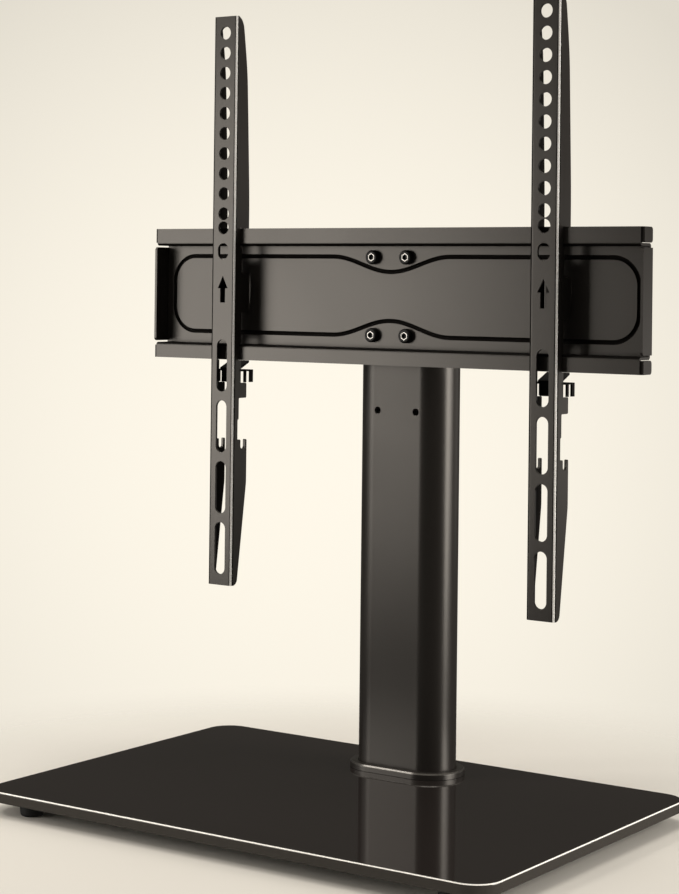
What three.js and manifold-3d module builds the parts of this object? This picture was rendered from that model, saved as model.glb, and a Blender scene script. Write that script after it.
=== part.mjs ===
// A table-top stand for a television: a glass foot, one flat-oval column, a pressed
// carrier plate and two upright arms that hang on the plate's rails and lock under them.
// Millimetres, +X to the right, +Y to the back, +Z up. The origin lies on the table,
// under the middle of the glass, and the front of the stand looks along -Y.

import * as THREE from "three";
import { mergeVertices } from "three/addons/utils/BufferGeometryUtils.js";
import Module from "manifold-3d";

const wasm = await Module();
wasm.setup();

// Clearances
const seatGap = 0.2; // between two pieces that rest on each other
const holeGap = 0.4; // round a screw's shaft
const rideGap = 0.3; // between an arm and the rail that it slides on
const overrun = 2; // how far a cutting tool reaches past what it cuts

// Glass foot
const glassWidth = 424;
const glassDepth = 290;
const glassThickness = 8;
const glassCornerRadius = 20;
const glassArris = 0.9;

// Rubber feet
const footHeight = 9.3;
const footTopRadius = 9.2;
const footBottomRadius = 8.3;
const footEdgeRadius = 1.6;
const footInsetX = 35;
const footInsetY = 18;

// Column
const columnWidth = 80;
const columnDepth = 40;
const columnWall = 2;
const columnHeight = 399;
const columnBackInset = 50; // column's middle to the back edge of the glass
const columnFitGap = 0.25;
const collarOffset = 6.5;
const collarHeight = 4.8;
const collarRounding = 1.8;
const capThickness = 2.4;
const capPlugHeight = 9;
const capRounding = 0.8;

// Column's foot joint, through the glass
const gasketThickness = 1;
const footPlateThickness = 8;
const clampOverhang = 8; // clamp plate past the column's outline
const clampThickness = 2;
const baseBoltSpacing = 40;
const baseBoltRadius = 3;
const baseBoltHeadRadius = 5.6;
const baseBoltHeadHeight = 3.2;
const baseBoltTipInset = 1; // bolt's tip below the top of the foot plate
const baseWasherRadius = 8.5;
const baseWasherThickness = 1.2;

// Carrier plate
const plateWidth = 432;
const plateHeight = 102;
const plateSheet = 2;
const plateBend = 0.9; // inner radius of a bend
const plateLipHeight = 12; // from a lip's free edge to its shelf's far face
const plateRecess = 14; // lip's front face to the panel's front face
const plateAboveColumn = 8.4; // top of the lip over the top of the tube
const plateStandoff = 8; // column's front to the back of the panel
const plateReliefGap = 1.2; // between an end flange and the shelves
const plateTabRounding = 2.4;
const beadEndInset = 10; // middle of the bead to the plate's ends
const beadTopInset = 21.3; // middle of the bead to the plate's long edges
const beadCornerRadius = 20;
const beadWaistDepth = 11.4;
const beadWaistHalfWidth = 52;
const beadWidth = 3;
const beadDepth = 1;
const beadRearGap = 0.5;

// Plate bolts
const plateBoltSpacingX = 30;
const plateBoltSpacingZ = 58.4;
const plateBoltRadius = 3;
const plateBoltHeadRadius = 5.5;
const plateBoltHeadHeight = 5.6;
const plateBoltRounding = 0.9;
const plateBoltTipInset = 0.6; // bolt's tip in front of the bracket's back
const boltSocketRadius = 2.9;
const boltSocketDepth = 3;
const boltRimWidth = 0.7;
const boltRimHeight = 0.35;

// Stand-off bracket and its screws
const bracketWidth = 46;
const bracketTop = 42; // over the plate's middle
const bracketBottom = 49; // under the plate's middle
const bracketCornerRadius = 4;
const columnHoleSpacingX = 34;
const columnHolePitch = 43.05;
const columnHoleRows = 3; // first row at the plate's middle, the last one free
const bracketScrewRadius = 2.1;
const bracketScrewHeadRadius = 4;
const bracketScrewHeadHeight = 2.8;
const bracketScrewSinking = 0.5; // head below the bracket's face
const bracketScrewTipLength = 3; // shaft past the nut strip
const stripThickness = 4;
const stripWidth = 42;
const stripMargin = 9;

// Arms
const armEndInset = 74; // arm's middle to the plate's end, as photographed
const armLength = 441.3;
const armWidth = 23.2;
const armSheet = 2;
const armBend = 0.7; // inner radius of a bend
const armRise = 164.7; // arm's top over the top of the upper lip
const armStandoff = 7.2; // web's front face to the lips' front face
const armCornerRounding = 2.5;

// Holes in an arm's web, measured down from the arm's top
const armHoleRadius = 5;
const armHolePitch = 15.6;
const armFirstHole = 13;
const armHoleCount = 10;
const armOddHole = 164.3;
const armShortSlotTop = 176.2;
const armShortSlotLength = 12.6;
const armArrowTop = 201.6;
const armArrowLength = 20.7;
const armArrowHeadLength = 9.6;
const armArrowHeadWidth = 9.6;
const armArrowShaftWidth = 4.8;
const armSlotTop = 251;
const armSlotLength = 40.4;
const armSlotPitch = 47.2;
const armSlotCount = 4;

// Depths of an arm's flanges, measured back from the web's front face
const flangeDepth = 17.8;
const flangeRecessDepth = 9;
const flangeEarDepth = 18.8; // ear between the rails
const flangeEarLength = 27.8;
const flangeEarSlope = 1.5;
const flangeEarDrop = 22.5; // ear's upper end under the upper shelf
const hookBackGap = 0.6; // lip's back to the hook's tongue
const hookTongueGap = 1.4; // tongue's tip over the shelf
const hookRounding = 1.2;
const lockWayDepth = 9.4;
const lockWayHeight = 17.9; // from the lower lip to the ledge under the lock
const ledgeDepth = 16.8;
const ledgeHeight = 11.7;
const neckDepth = 7.3;
const neckHeight = 16.7;
const waistDepth = 6;
const waistHeight = 15.5;
const lowerEarHeight = 33.5;
const lowerEarSlotFront = 10;
const lowerEarSlotBack = 15.5;
const lowerEarSlotDepth = 7.5;
const toeDepth = 7;
const toeRounding = 4.5;

// Share of the hook's drop and share of the full depth, down the swelling upper flange
const upperFlangeShares = [
  [0.015, 0.33],
  [0.04, 0.47],
  [0.13, 0.6],
  [0.27, 0.77],
  [0.62, 0.91],
  [0.86, 1],
];

// Locks
const lockSheet = 1.6;
const lockHeight = 9.8;
const lockGap = 0.4;
const lockBridgeHeight = 1.2;
const lockWebWidth = 15.4;
const lockPostStart = 2.1; // back from the lock's front, as the next four
const lockPostEnd = 4.4;
const lockFingerStart = 9.2;
const lockFingerEnd = 12.9;
const lockTongueReach = 13.2;
const lockTongueRise = 6.9; // over the bridge
const lockTongueSheet = 1.6;
const lockTongueGap = 0.4; // to a flange on each side

// Facets of a full circle on a large round, on a hole and on a small corner
const largeRoundSteps = 40;
const footSteps = 24;
const holeSteps = 16;
const cornerSteps = 4;

// Finishes
const blackPaint = new THREE.MeshStandardMaterial({
  color: 0x3a3937,
  roughness: 0.5,
  metalness: 0.25,
});
const darkGlass = new THREE.MeshStandardMaterial({
  color: 0x0d0e0f,
  roughness: 0.06,
  metalness: 0,
});
const blackRubber = new THREE.MeshStandardMaterial({
  color: 0x1b1b1b,
  roughness: 0.85,
  metalness: 0,
});
const blackPlastic = new THREE.MeshStandardMaterial({
  color: 0x242322,
  roughness: 0.55,
  metalness: 0,
});
const blackenedSteel = new THREE.MeshStandardMaterial({
  color: 0x1c1b1a,
  roughness: 0.35,
  metalness: 0.8,
});
const zincSteel = new THREE.MeshStandardMaterial({
  color: 0x9a9c9e,
  roughness: 0.4,
  metalness: 0.9,
});

// Heights, from the table up
const glassBottomZ = footHeight + seatGap;
const glassTopZ = glassBottomZ + glassThickness;
const columnBottomZ = glassTopZ + seatGap + gasketThickness + seatGap;
const columnTopZ = columnBottomZ + columnHeight;
const plateTopZ = columnTopZ + plateAboveColumn;
const plateBottomZ = plateTopZ - plateHeight;
const plateMiddleZ = (plateTopZ + plateBottomZ) / 2;
const armTopZ = plateTopZ + armRise;

// Depths, from the front to the back
const columnY = glassDepth / 2 - columnBackInset;
const columnFrontY = columnY - columnDepth / 2;
const panelBackY = columnFrontY - plateStandoff;
const panelFrontY = panelBackY - plateSheet;
const lipFrontY = panelFrontY - plateRecess;
const armFrontY = lipFrontY - armStandoff;

// Closed solids from meshes, and meshes from closed solids
function toSolid(geometry) {
  const bare = geometry.clone();
  bare.deleteAttribute("normal");
  bare.deleteAttribute("uv");
  const merged = mergeVertices(bare);
  const corners = merged.index.array;
  const kept = [];
  for (let i = 0; i < corners.length; i += 3) {
    const [a, b, c] = corners.slice(i, i + 3);
    if (a !== b && b !== c && c !== a) {
      kept.push(a, b, c);
    }
  }
  const mesh = new wasm.Mesh({
    numProp: 3,
    vertProperties: new Float32Array(merged.attributes.position.array),
    triVerts: new Uint32Array(kept),
  });
  return new wasm.Manifold(mesh);
}

function toGeometry(solid) {
  const mesh = solid.getMesh();
  const geometry = new THREE.BufferGeometry();
  geometry.setAttribute("position", new THREE.BufferAttribute(mesh.vertProperties, 3));
  geometry.setIndex(new THREE.BufferAttribute(mesh.triVerts, 1));
  return geometry;
}

function joinAll(solids) {
  return solids.reduce((whole, piece) => whole.add(piece));
}

function cutAll(solid, tools) {
  return tools.reduce((rest, tool) => rest.subtract(tool), solid);
}

// Extrusions of an outline: upwards, from front to back, and from left to right
const axisX = new THREE.Vector3(1, 0, 0);
const axisY = new THREE.Vector3(0, 1, 0);
const axisZ = new THREE.Vector3(0, 0, 1);
const frontToBack = new THREE.Matrix4().makeBasis(axisX, axisZ, axisY.clone().negate());
const leftToRight = new THREE.Matrix4().makeBasis(axisY, axisZ, axisX);

function extruded(outline, depth) {
  return new THREE.ExtrudeGeometry(outline, {
    depth,
    bevelEnabled: false,
    curveSegments: cornerSteps,
  });
}

function upright(outline, fromZ, toZ) {
  return toSolid(extruded(outline, toZ - fromZ).translate(0, 0, fromZ));
}

function facing(outline, fromY, toY) {
  return toSolid(extruded(outline, toY - fromY).applyMatrix4(frontToBack).translate(0, toY, 0));
}

function sideways(outline, fromX, toX) {
  return toSolid(extruded(outline, toX - fromX).applyMatrix4(leftToRight).translate(fromX, 0, 0));
}

function block(fromX, toX, fromY, toY, fromZ, toZ) {
  const box = new THREE.BoxGeometry(toX - fromX, toY - fromY, toZ - fromZ);
  return toSolid(box.translate((fromX + toX) / 2, (fromY + toY) / 2, (fromZ + toZ) / 2));
}

// A round tool or shaft along Y, from front to back, and along Z
function roundAlongY(x, z, radius, fromY, toY, steps = holeSteps) {
  const bar = new THREE.CylinderGeometry(radius, radius, toY - fromY, steps);
  return toSolid(bar.translate(x, (fromY + toY) / 2, z));
}

function roundAlongZ(x, y, radius, fromZ, toZ, steps = holeSteps) {
  const bar = new THREE.CylinderGeometry(radius, radius, toZ - fromZ, steps);
  return toSolid(bar.rotateX(Math.PI / 2).translate(x, y, (fromZ + toZ) / 2));
}

// A closed outline through corners [u, v, radius], each rounded by its own radius
function roundedOutline(corners) {
  const outline = new THREE.Shape();
  const last = corners.length - 1;
  corners.forEach(([u, v, radius = 0], i) => {
    const here = new THREE.Vector2(u, v);
    const before = new THREE.Vector2(...corners[i === 0 ? last : i - 1]);
    const after = new THREE.Vector2(...corners[i === last ? 0 : i + 1]);
    const start = before.sub(here).setLength(radius).add(here);
    const end = after.sub(here).setLength(radius).add(here);
    if (i === 0) {
      outline.moveTo(start.x, start.y);
    } else {
      outline.lineTo(start.x, start.y);
    }
    if (radius > 0) {
      outline.quadraticCurveTo(u, v, end.x, end.y);
    }
  });
  outline.closePath();
  return outline;
}

function roundedRectangle(width, height, radius, centreX = 0, centreY = 0, turnSteps = holeSteps) {
  const right = centreX + width / 2 - radius;
  const left = centreX - width / 2 + radius;
  const top = centreY + height / 2 - radius;
  const bottom = centreY - height / 2 + radius;
  const quarter = Math.PI / 2;
  const points = [];
  [
    [right, top],
    [left, top],
    [left, bottom],
    [right, bottom],
  ].forEach(([u, v], corner) => {
    const steps = turnSteps / 4;
    for (let i = 0; i <= steps; i += 1) {
      const angle = quarter * (corner + i / steps);
      points.push(new THREE.Vector2(u + radius * Math.cos(angle), v + radius * Math.sin(angle)));
    }
  });
  return new THREE.Shape(points);
}

// The column's flat-oval outline, grown by an offset
function oval(offset) {
  const radius = columnDepth / 2 + offset;
  const straight = columnWidth / 2 - columnDepth / 2;
  const points = [];
  for (let i = 0; i <= largeRoundSteps / 2; i += 1) {
    const angle = (Math.PI * i) / (largeRoundSteps / 2) - Math.PI / 2;
    points.push(new THREE.Vector2(straight + radius * Math.cos(angle), columnY + radius * Math.sin(angle)));
  }
  const turned = points.map(({ x, y }) => new THREE.Vector2(-x, 2 * columnY - y));
  return new THREE.Shape([...points, ...turned]);
}

// The section of a folded sheet whose middle runs through the points
function foldedSheet(points, sheet, bend) {
  const left = [];
  const right = [];
  const radius = bend + sheet / 2;
  const place = (x, y, heading) => {
    const half = sheet / 2;
    left.push(new THREE.Vector2(x - Math.sin(heading) * half, y + Math.cos(heading) * half));
    right.push(new THREE.Vector2(x + Math.sin(heading) * half, y - Math.cos(heading) * half));
  };
  const headings = points.slice(1).map(([x, y], i) => Math.atan2(y - points[i][1], x - points[i][0]));
  points.forEach(([x, y], i) => {
    if (i === 0 || i === points.length - 1) {
      place(x, y, headings[Math.max(i - 1, 0)]);
      return;
    }
    const from = headings[i - 1];
    const turn = Math.atan2(Math.sin(headings[i] - from), Math.cos(headings[i] - from));
    const side = Math.sign(turn);
    const reach = radius * Math.tan(Math.abs(turn) / 2);
    const middleX = x - Math.cos(from) * reach - side * Math.sin(from) * radius;
    const middleY = y - Math.sin(from) * reach + side * Math.cos(from) * radius;
    for (let step = 0; step <= cornerSteps; step += 1) {
      const heading = from + (turn * step) / cornerSteps;
      const bentX = middleX + side * Math.sin(heading) * radius;
      const bentY = middleY - side * Math.cos(heading) * radius;
      place(bentX, bentY, heading);
    }
  });
  return new THREE.Shape([...left, ...right.reverse()]);
}

// A screw along +Z with its head's underside at zero and a hexagonal socket
function screwGeometry({ shaft, length, head, height, rounding = 0, rim = 0, rimHeight = 0 }) {
  const profile = [
    [0, -length],
    [shaft, -length],
    [shaft, 0],
    [head, 0],
    [head, height - rounding],
    [head - rounding / 3, height - rounding / 3],
    [head - rounding, height],
    [boltSocketRadius + rim, height],
    [boltSocketRadius + rim, height + rimHeight],
    [0, height + rimHeight],
  ];
  const distinct = profile.filter(([r, z], i) => {
    return i === 0 || r !== profile[i - 1][0] || z !== profile[i - 1][1];
  });
  const lathe = new THREE.LatheGeometry(distinct.map((point) => new THREE.Vector2(...point)), holeSteps);
  const body = toSolid(lathe.rotateX(Math.PI / 2));
  const depth = Math.min(boltSocketDepth, height * 0.6);
  const socket = new THREE.CylinderGeometry(boltSocketRadius, boltSocketRadius, depth + overrun, 6);
  const tool = toSolid(socket.rotateX(Math.PI / 2).translate(0, 0, height + (overrun - depth) / 2));
  return toGeometry(body.subtract(tool));
}

const stand = new THREE.Group();

function addPiece(name, shape, material, position = new THREE.Vector3()) {
  const geometry = shape.isBufferGeometry ? shape : toGeometry(shape);
  const mesh = new THREE.Mesh(geometry, material);
  mesh.name = name;
  mesh.position.copy(position);
  stand.add(mesh);
  return mesh;
}

// Glass foot, with the edges eased and two holes for the column's bolts
const baseBoltXs = [-baseBoltSpacing / 2, baseBoltSpacing / 2];

function baseBoltTools(fromZ, toZ) {
  return baseBoltXs.map((x) => roundAlongZ(x, columnY, baseBoltRadius + holeGap, fromZ, toZ));
}

const glassOutline = roundedRectangle(glassWidth, glassDepth, glassCornerRadius, 0, 0, largeRoundSteps);
const glassBlank = new THREE.ExtrudeGeometry(glassOutline, {
  depth: glassThickness - 2 * glassArris,
  bevelThickness: glassArris,
  bevelSize: glassArris,
  bevelOffset: -glassArris,
  bevelSegments: 1,
});
glassBlank.translate(0, 0, glassBottomZ + glassArris);
const glass = cutAll(toSolid(glassBlank), baseBoltTools(glassBottomZ - overrun, glassTopZ + overrun));
addPiece("base_glass", glass, darkGlass);

// Four rubber feet near the corners
const footProfile = [[0, 0]];
for (let i = 0; i <= cornerSteps; i += 1) {
  const angle = (Math.PI / 2) * (i / cornerSteps);
  const radius = footBottomRadius - footEdgeRadius * (1 - Math.sin(angle));
  footProfile.push([radius, footEdgeRadius * (1 - Math.cos(angle))]);
}
footProfile.push([footTopRadius, footHeight], [0, footHeight]);
const footPoints = footProfile.map((point) => new THREE.Vector2(...point));
const footX = glassWidth / 2 - footInsetX;
const footY = glassDepth / 2 - footInsetY;
for (const [name, x, y] of [
  ["front_left_foot", -footX, -footY],
  ["front_right_foot", footX, -footY],
  ["back_left_foot", -footX, footY],
  ["back_right_foot", footX, footY],
]) {
  const foot = new THREE.LatheGeometry(footPoints, footSteps).rotateX(Math.PI / 2);
  addPiece(name, foot, blackRubber, new THREE.Vector3(x, y, 0));
}

// Under the glass: a gasket, a clamp plate, washers and bolts
const lowerGasketTopZ = glassBottomZ - seatGap;
const lowerGasketBottomZ = lowerGasketTopZ - gasketThickness;
const clampTopZ = lowerGasketBottomZ - seatGap;
const clampBottomZ = clampTopZ - clampThickness;
const washerTopZ = clampBottomZ - seatGap;
const washerBottomZ = washerTopZ - baseWasherThickness;
const baseBoltHeadZ = washerBottomZ - seatGap;

const underTools = baseBoltTools(clampBottomZ - overrun, glassBottomZ + overrun);
const lowerGasket = upright(oval(clampOverhang), lowerGasketBottomZ, lowerGasketTopZ);
addPiece("lower_gasket", cutAll(lowerGasket, underTools), blackRubber);
const clampPlate = upright(oval(clampOverhang), clampBottomZ, clampTopZ);
addPiece("clamp_plate", cutAll(clampPlate, underTools), blackPaint);

// Over the glass: a gasket, the foot plate inside the column, and a collar
const upperGasketBottomZ = glassTopZ + seatGap;
const upperGasketTopZ = upperGasketBottomZ + gasketThickness;
const footPlateTopZ = columnBottomZ + footPlateThickness;
const overTools = baseBoltTools(glassTopZ - overrun, footPlateTopZ + overrun);
const upperGasket = upright(oval(0), upperGasketBottomZ, upperGasketTopZ);
addPiece("upper_gasket", cutAll(upperGasket, overTools), blackRubber);
const footPlate = upright(oval(-columnWall - columnFitGap), columnBottomZ, footPlateTopZ);
addPiece("column_foot_plate", cutAll(footPlate, overTools), zincSteel);

const collarBottomZ = glassTopZ + seatGap;
const collarBlank = new THREE.ExtrudeGeometry(oval(collarOffset), {
  depth: collarHeight - collarRounding,
  bevelThickness: collarRounding,
  bevelSize: collarRounding,
  bevelOffset: -collarRounding,
  bevelSegments: cornerSteps,
});
const collarTopZ = collarBottomZ + collarHeight;
const collarSpace = upright(oval(columnFitGap), collarBottomZ - overrun, collarTopZ + overrun);
const collarLowZ = collarBottomZ - collarRounding - overrun;
const collarLow = upright(oval(collarOffset + overrun), collarLowZ, collarBottomZ);
const collarSolid = cutAll(toSolid(collarBlank.translate(0, 0, collarBottomZ)), [collarSpace, collarLow]);
addPiece("base_collar", collarSolid, blackPaint);

const baseBoltLength = footPlateTopZ - baseBoltTipInset - baseBoltHeadZ;
const baseBolt = screwGeometry({
  shaft: baseBoltRadius,
  length: baseBoltLength,
  head: baseBoltHeadRadius,
  height: baseBoltHeadHeight,
  rounding: plateBoltRounding,
});
const washerOutline = new THREE.Shape().absarc(0, 0, baseWasherRadius, 0, 2 * Math.PI);
washerOutline.holes.push(new THREE.Path().absarc(0, 0, baseBoltRadius + holeGap, 0, 2 * Math.PI));
baseBoltXs.forEach((x, i) => {
  const side = i === 0 ? "left" : "right";
  const washer = new THREE.ExtrudeGeometry(washerOutline, {
    depth: baseWasherThickness,
    bevelEnabled: false,
    curveSegments: footSteps,
  });
  addPiece(`${side}_base_washer`, washer, zincSteel, new THREE.Vector3(x, columnY, washerBottomZ));
  const boltPlace = new THREE.Vector3(x, columnY, baseBoltHeadZ);
  const bolt = addPiece(`${side}_base_bolt`, baseBolt, zincSteel, boltPlace);
  bolt.rotation.x = Math.PI;
});

// Column: a flat-oval tube with rows of holes in its front, closed by a cap
const columnHoleRadius = bracketScrewRadius + holeGap;
const columnHoles = [];
for (let row = 0; row < columnHoleRows; row += 1) {
  for (const side of [-1, 1]) {
    columnHoles.push([(side * columnHoleSpacingX) / 2, plateMiddleZ - row * columnHolePitch]);
  }
}
const columnHoleTools = columnHoles.map(([x, z]) => {
  const backY = columnFrontY + columnWall + stripThickness + overrun;
  return roundAlongY(x, z, columnHoleRadius, columnFrontY - overrun, backY);
});
const columnBlank = upright(oval(0), columnBottomZ, columnTopZ);
const columnBore = upright(oval(-columnWall), columnBottomZ - overrun, columnTopZ + overrun);
addPiece("column_tube", cutAll(columnBlank, [columnBore, ...columnHoleTools]), blackPaint);

const capBlank = new THREE.ExtrudeGeometry(oval(0), {
  depth: capThickness - 2 * capRounding,
  bevelThickness: capRounding,
  bevelSize: capRounding,
  bevelOffset: -capRounding,
  bevelSegments: 2,
});
const capMiddleZ = columnTopZ + seatGap + capRounding;
capBlank.translate(0, 0, capMiddleZ);
const capPlug = upright(oval(-columnWall - columnFitGap), columnTopZ - capPlugHeight, capMiddleZ);
addPiece("column_top_cap", toSolid(capBlank).add(capPlug), blackPlastic);

// Nut strip behind the front of the tube
const stripFrontY = columnFrontY + columnWall + seatGap;
const stripBottom = -(columnHoleRows - 1) * columnHolePitch - stripMargin;
const stripHeight = stripMargin - stripBottom;
const stripMiddleZ = plateMiddleZ + (stripMargin + stripBottom) / 2;
const stripOutline = roundedRectangle(stripWidth, stripHeight, bracketCornerRadius, 0, stripMiddleZ);
const strip = facing(stripOutline, stripFrontY, stripFrontY + stripThickness);
addPiece("column_nut_strip", cutAll(strip, columnHoleTools), zincSteel);

// The pressed bead that runs round the plate's panel, drawn in between the bolts
function beadOutline(offset) {
  const halfLength = plateWidth / 2 - beadEndInset;
  const halfHeight = plateHeight / 2 - beadTopInset;
  const middle = [];
  const waistSteps = 14;
  const topEdge = (x) => {
    const share = Math.min(Math.abs(x) / beadWaistHalfWidth, 1);
    return halfHeight - (beadWaistDepth * (1 + Math.cos(Math.PI * share))) / 2;
  };
  const arcSteps = 6;
  for (let i = 0; i <= arcSteps; i += 1) {
    const angle = (Math.PI / 2) * (i / arcSteps);
    const x = halfLength - beadCornerRadius * (1 - Math.cos(angle));
    middle.push([x, halfHeight - beadCornerRadius * (1 - Math.sin(angle))]);
  }
  for (let i = 0; i <= waistSteps; i += 1) {
    const x = beadWaistHalfWidth * (1 - (2 * i) / waistSteps);
    middle.push([x, topEdge(x)]);
  }
  for (let i = arcSteps; i >= 0; i -= 1) {
    const [x, z] = middle[i];
    middle.push([-x, z]);
  }
  const round = [...middle, ...middle.map(([x, z]) => [-x, -z])];
  return round.map(([x, z], i) => {
    const before = round[(i + round.length - 1) % round.length];
    const after = round[(i + 1) % round.length];
    const along = new THREE.Vector2(after[0] - before[0], after[1] - before[1]).normalize();
    return new THREE.Vector2(x + along.y * offset, plateMiddleZ + z - along.x * offset);
  });
}

function beadRing(width, fromY, toY) {
  const outline = new THREE.Shape(beadOutline(width / 2));
  outline.holes.push(new THREE.Path(beadOutline(-width / 2)));
  return facing(outline, fromY, toY);
}

// Carrier plate: a pressed pan whose two rails are turned outwards
const halfPlate = plateWidth / 2;
const halfSheet = plateSheet / 2;
const upperShelfZ = plateTopZ - plateLipHeight + halfSheet;
const lowerShelfZ = plateBottomZ + plateLipHeight - halfSheet;
const lipMiddleY = lipFrontY + halfSheet;
const panelMiddleY = panelFrontY + halfSheet;
const cornerReach = plateBend + plateSheet;

const railSection = foldedSheet(
  [
    [lipMiddleY, plateTopZ],
    [lipMiddleY, upperShelfZ],
    [panelMiddleY, upperShelfZ],
    [panelMiddleY, lowerShelfZ],
    [lipMiddleY, lowerShelfZ],
    [lipMiddleY, plateBottomZ],
  ],
  plateSheet,
  plateBend,
);
const rails = sideways(railSection, cornerReach - halfPlate, halfPlate - cornerReach);

// A strip across the plate whose two ends are bent to the front or to the back
function bentStrip(endY, middleY, fromZ, toZ) {
  const end = halfPlate - halfSheet;
  const section = foldedSheet(
    [
      [-end, endY],
      [-end, middleY],
      [end, middleY],
      [end, endY],
    ],
    plateSheet,
    plateBend,
  );
  const low = Math.min(endY, middleY - halfSheet);
  const high = Math.max(endY, middleY + halfSheet);
  const roundedAt = (y) => (y === endY ? plateTabRounding : 0);
  const profile = roundedOutline([
    [low, fromZ, roundedAt(low)],
    [high, fromZ, roundedAt(high)],
    [high, toZ, roundedAt(high)],
    [low, toZ, roundedAt(low)],
  ]);
  const whole = upright(section, fromZ, toZ);
  return whole.intersect(sideways(profile, -halfPlate - overrun, halfPlate + overrun));
}

const tabReliefZ = plateLipHeight - plateSheet - plateBend;
const upperTabs = bentStrip(panelFrontY, lipMiddleY, plateTopZ - tabReliefZ, plateTopZ);
const lowerTabs = bentStrip(panelFrontY, lipMiddleY, plateBottomZ, plateBottomZ + tabReliefZ);
const endFlanges = bentStrip(
  lipFrontY,
  panelMiddleY,
  lowerShelfZ + halfSheet + plateReliefGap,
  upperShelfZ - halfSheet - plateReliefGap,
);

const plateBoltPlaces = [];
for (const sideZ of [1, -1]) {
  for (const sideX of [-1, 1]) {
    const x = (sideX * plateBoltSpacingX) / 2;
    plateBoltPlaces.push([x, plateMiddleZ + (sideZ * plateBoltSpacingZ) / 2]);
  }
}
const plateBoltTools = plateBoltPlaces.map(([x, z]) => {
  return roundAlongY(x, z, plateBoltRadius + holeGap, panelFrontY - overrun, columnFrontY + overrun);
});
const beadGroove = beadRing(beadWidth, panelFrontY - overrun, panelFrontY + beadDepth);
const beadRib = beadRing(beadWidth, panelMiddleY, panelBackY + beadDepth);
const plateBlank = joinAll([rails, upperTabs, lowerTabs, endFlanges, beadRib]);
addPiece("carrier_plate", cutAll(plateBlank, [beadGroove, ...plateBoltTools]), blackPaint);

// Stand-off bracket between the column and the plate, relieved where the bead crosses it
const bracketFrontY = panelBackY + seatGap;
const bracketBackY = columnFrontY - seatGap;
const screwSeatY = bracketFrontY + bracketScrewSinking + bracketScrewHeadHeight;
const bracketMiddleZ = plateMiddleZ + (bracketTop - bracketBottom) / 2;
const bracketHeight = bracketTop + bracketBottom;
const bracketOutline = roundedRectangle(bracketWidth, bracketHeight, bracketCornerRadius, 0, bracketMiddleZ);
const usedHoles = columnHoles.slice(0, -2);
const bracketTools = [
  beadRing(beadWidth + 2 * beadRearGap, bracketFrontY - overrun, panelBackY + beadDepth + beadRearGap),
  ...plateBoltTools,
];
for (const [x, z] of usedHoles) {
  const sinkRadius = bracketScrewHeadRadius + holeGap;
  bracketTools.push(roundAlongY(x, z, columnHoleRadius, bracketFrontY - overrun, bracketBackY + overrun));
  bracketTools.push(roundAlongY(x, z, sinkRadius, bracketFrontY - overrun, screwSeatY + seatGap));
}
const bracket = facing(bracketOutline, bracketFrontY, bracketBackY);
addPiece("standoff_bracket", cutAll(bracket, bracketTools), blackPaint);

const screwTipY = stripFrontY + stripThickness + bracketScrewTipLength;
const bracketScrew = screwGeometry({
  shaft: bracketScrewRadius,
  length: screwTipY - screwSeatY,
  head: bracketScrewHeadRadius,
  height: bracketScrewHeadHeight,
  rounding: bracketScrewSinking,
});
usedHoles.forEach(([x, z], i) => {
  const name = `${i < 2 ? "upper" : "lower"}_${x < 0 ? "left" : "right"}_bracket_screw`;
  const screw = addPiece(name, bracketScrew, zincSteel, new THREE.Vector3(x, screwSeatY, z));
  screw.rotation.x = Math.PI / 2;
});

// Four socket screws hold the plate on the bracket
const plateBoltSeatY = panelFrontY - seatGap;
const plateBolt = screwGeometry({
  shaft: plateBoltRadius,
  length: bracketBackY - plateBoltTipInset - plateBoltSeatY,
  head: plateBoltHeadRadius,
  height: plateBoltHeadHeight,
  rounding: plateBoltRounding,
  rim: boltRimWidth,
  rimHeight: boltRimHeight,
});
plateBoltPlaces.forEach(([x, z], i) => {
  const name = `${i < 2 ? "upper" : "lower"}_${x < 0 ? "left" : "right"}_plate_bolt`;
  const bolt = addPiece(name, plateBolt, blackenedSteel, new THREE.Vector3(x, plateBoltSeatY, z));
  bolt.rotation.x = Math.PI / 2;
});

// A place on an arm: a depth behind the web's front face and a drop below the arm's top
function onArm(depth, drop, rounding = 0) {
  return [armFrontY + depth, armTopZ - drop, rounding];
}

// Drops from the arm's top to what its flanges pass on the plate
const hookDrop = armRise - rideGap;
const tongueDrop = armRise + plateLipHeight - plateSheet - hookTongueGap;
const upperShelfDrop = armRise + plateLipHeight + rideGap;
const lowerShelfDrop = armRise + plateHeight - plateLipHeight - rideGap;
const lowerLipDrop = armRise + plateHeight + rideGap;
const ledgeDrop = armRise + plateHeight + lockWayHeight;
const railDepth = armStandoff - rideGap;
const tongueFrontDepth = armStandoff + plateSheet + hookBackGap;

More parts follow.
